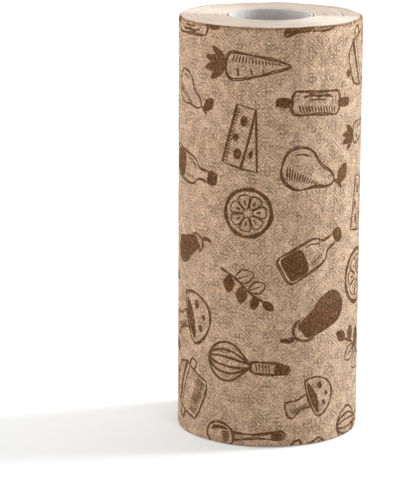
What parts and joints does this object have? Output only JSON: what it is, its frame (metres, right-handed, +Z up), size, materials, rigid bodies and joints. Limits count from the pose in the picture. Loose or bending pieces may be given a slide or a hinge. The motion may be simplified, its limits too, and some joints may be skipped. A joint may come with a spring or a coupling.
{
  "type": "paper towel roll",
  "caption": "Printed and embossed kitchen paper wound on a cardboard core, standing on its end, with an open bore for a holder's rod.",
  "frame": {"origin": "on the roll's axis, in the plane that its lower end stands on", "axes": "+Z up the roll's axis; the picture looks along +Y, with +X to the right"},
  "size_m": [0.098, 0.0976, 0.225],
  "materials": {
    "core_board": "matt grey cardboard",
    "towel_paper": "soft unbleached embossed tissue with brown line print"
  },
  "bodies": {
    "root": {"core_tube": "core_board", "paper_roll": "towel_paper"}
  },
  "joints": []
}
